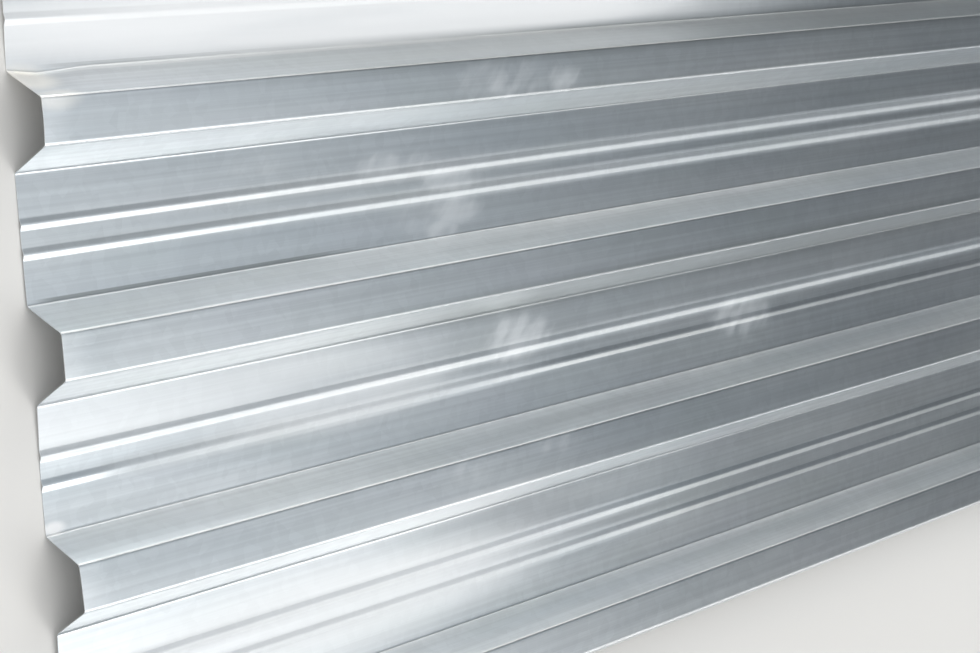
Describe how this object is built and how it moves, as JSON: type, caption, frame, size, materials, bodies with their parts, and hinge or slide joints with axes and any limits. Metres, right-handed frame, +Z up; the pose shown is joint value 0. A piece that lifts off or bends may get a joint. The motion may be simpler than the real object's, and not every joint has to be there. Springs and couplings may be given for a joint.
{
  "type": "corrugated metal sheet",
  "caption": "Trapezoidal-ribbed sheet of zinc-coated steel for roofs and walls, with stiffening beads along its pans and a short turned-down lip along each side edge for lapping.",
  "frame": {"origin": "middle of the footprint, on the level that the undersides of the pans rest on", "axes": "+X along the ribs, +Y across the sheet, +Z up out of the face that the ribs stand on"},
  "size_m": [3, 0.7348, 0.0365],
  "materials": {
    "zinc_coated_steel": "hot-dip zinc coating, satin to bright, with a faint spangle and cloudy marks"
  },
  "bodies": {
    "root": {"corrugated_sheet": "zinc_coated_steel"}
  },
  "joints": []
}
